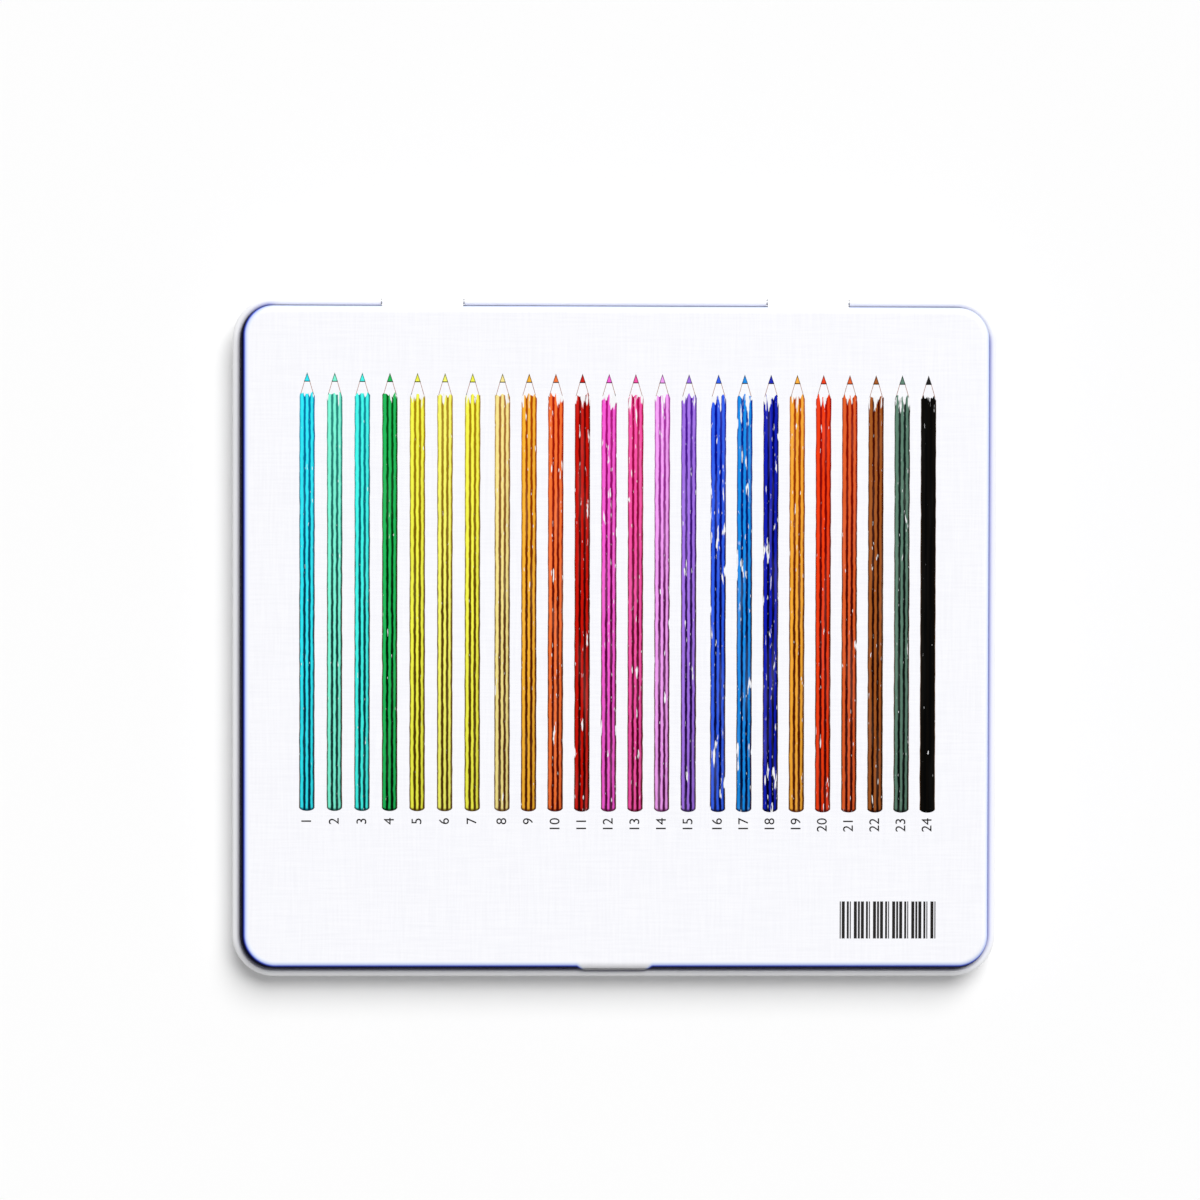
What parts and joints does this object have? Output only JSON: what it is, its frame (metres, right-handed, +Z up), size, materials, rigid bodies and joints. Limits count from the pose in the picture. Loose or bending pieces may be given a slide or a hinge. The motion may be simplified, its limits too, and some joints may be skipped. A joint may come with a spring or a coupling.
{
  "type": "pencil tin",
  "caption": "Slim hinged metal pencil tin, closed and lying on its lid, with a troughed tray, a row of sharpened colored pencils and a foam pad inside.",
  "frame": {"origin": "middle of the lid's outer face, on the surface that the closed tin lies on", "axes": "+Z up, out of the printed underside of the base; +X along the row of pencils, to the right in the picture; +Y towards the hinge. Turned half a turn about X the tin stands lid up."},
  "size_m": [0.2084, 0.185, 0.013],
  "materials": {
    "printed_tin": "white gloss lacquer with a faint linen texture and a printed colour chart, bare tin inside",
    "lid_tin": "white gloss lacquer, bare tin inside",
    "pin_steel": "drawn wire",
    "tray_plastic": "thermoformed white polystyrene, satin",
    "foam": "closed-cell foam sheet",
    "lacquer_01": "cedar casing, gloss coloured lacquer, bare wood on the sharpened cone",
    "core_01": "waxy coloured lead",
    "lacquer_02": "cedar casing, gloss coloured lacquer, bare wood on the sharpened cone",
    "core_02": "waxy coloured lead",
    "lacquer_03": "cedar casing, gloss coloured lacquer, bare wood on the sharpened cone",
    "core_03": "waxy coloured lead",
    "lacquer_04": "cedar casing, gloss coloured lacquer, bare wood on the sharpened cone",
    "core_04": "waxy coloured lead",
    "lacquer_05": "cedar casing, gloss coloured lacquer, bare wood on the sharpened cone",
    "core_05": "waxy coloured lead",
    "lacquer_06": "cedar casing, gloss coloured lacquer, bare wood on the sharpened cone",
    "core_06": "waxy coloured lead",
    "lacquer_07": "cedar casing, gloss coloured lacquer, bare wood on the sharpened cone",
    "core_07": "waxy coloured lead",
    "lacquer_08": "cedar casing, gloss coloured lacquer, bare wood on the sharpened cone",
    "core_08": "waxy coloured lead",
    "lacquer_09": "cedar casing, gloss coloured lacquer, bare wood on the sharpened cone",
    "core_09": "waxy coloured lead",
    "lacquer_10": "cedar casing, gloss coloured lacquer, bare wood on the sharpened cone",
    "core_10": "waxy coloured lead",
    "lacquer_11": "cedar casing, gloss coloured lacquer, bare wood on the sharpened cone",
    "core_11": "waxy coloured lead",
    "lacquer_12": "cedar casing, gloss coloured lacquer, bare wood on the sharpened cone",
    "core_12": "waxy coloured lead",
    "lacquer_13": "cedar casing, gloss coloured lacquer, bare wood on the sharpened cone",
    "core_13": "waxy coloured lead",
    "lacquer_14": "cedar casing, gloss coloured lacquer, bare wood on the sharpened cone",
    "core_14": "waxy coloured lead",
    "lacquer_15": "cedar casing, gloss coloured lacquer, bare wood on the sharpened cone",
    "core_15": "waxy coloured lead",
    "lacquer_16": "cedar casing, gloss coloured lacquer, bare wood on the sharpened cone",
    "core_16": "waxy coloured lead",
    "lacquer_17": "cedar casing, gloss coloured lacquer, bare wood on the sharpened cone",
    "core_17": "waxy coloured lead",
    "lacquer_18": "cedar casing, gloss coloured lacquer, bare wood on the sharpened cone",
    "core_18": "waxy coloured lead",
    "lacquer_19": "cedar casing, gloss coloured lacquer, bare wood on the sharpened cone",
    "core_19": "waxy coloured lead",
    "lacquer_20": "cedar casing, gloss coloured lacquer, bare wood on the sharpened cone",
    "core_20": "waxy coloured lead",
    "lacquer_21": "cedar casing, gloss coloured lacquer, bare wood on the sharpened cone",
    "core_21": "waxy coloured lead",
    "lacquer_22": "cedar casing, gloss coloured lacquer, bare wood on the sharpened cone",
    "core_22": "waxy coloured lead",
    "lacquer_23": "cedar casing, gloss coloured lacquer, bare wood on the sharpened cone",
    "core_23": "waxy coloured lead",
    "lacquer_24": "cedar casing, gloss coloured lacquer, bare wood on the sharpened cone",
    "core_24": "waxy coloured lead"
  },
  "bodies": {
    "lid": {"lid_shell": "lid_tin", "foam_sheet": "foam", "hinge_pin_left": "pin_steel", "hinge_pin_right": "pin_steel"},
    "base": {"base_shell": "printed_tin", "tray_insert": "tray_plastic", "pencil_01_barrel": "lacquer_01", "pencil_01_core": "core_01", "pencil_02_barrel": "lacquer_02", "pencil_02_core": "core_02", "pencil_03_barrel": "lacquer_03", "pencil_03_core": "core_03", "pencil_04_barrel": "lacquer_04", "pencil_04_core": "core_04", "pencil_05_barrel": "lacquer_05", "pencil_05_core": "core_05", "pencil_06_barrel": "lacquer_06", "pencil_06_core": "core_06", "pencil_07_barrel": "lacquer_07", "pencil_07_core": "core_07", "pencil_08_barrel": "lacquer_08", "pencil_08_core": "core_08", "pencil_09_barrel": "lacquer_09", "pencil_09_core": "core_09", "pencil_10_barrel": "lacquer_10", "pencil_10_core": "core_10", "pencil_11_barrel": "lacquer_11", "pencil_11_core": "core_11", "pencil_12_barrel": "lacquer_12", "pencil_12_core": "core_12", "pencil_13_barrel": "lacquer_13", "pencil_13_core": "core_13", "pencil_14_barrel": "lacquer_14", "pencil_14_core": "core_14", "pencil_15_barrel": "lacquer_15", "pencil_15_core": "core_15", "pencil_16_barrel": "lacquer_16", "pencil_16_core": "core_16", "pencil_17_barrel": "lacquer_17", "pencil_17_core": "core_17", "pencil_18_barrel": "lacquer_18", "pencil_18_core": "core_18", "pencil_19_barrel": "lacquer_19", "pencil_19_core": "core_19", "pencil_20_barrel": "lacquer_20", "pencil_20_core": "core_20", "pencil_21_barrel": "lacquer_21", "pencil_21_core": "core_21", "pencil_22_barrel": "lacquer_22", "pencil_22_core": "core_22", "pencil_23_barrel": "lacquer_23", "pencil_23_core": "core_23", "pencil_24_barrel": "lacquer_24", "pencil_24_core": "core_24"}
  },
  "joints": [
    {"name": "lid_hinge", "type": "hinge", "parent": "lid", "child": "base", "pos_m": [0, 0.0915, 0.0076], "axis": [-1, 0, 0], "range_deg": [0, 180]}
  ]
}
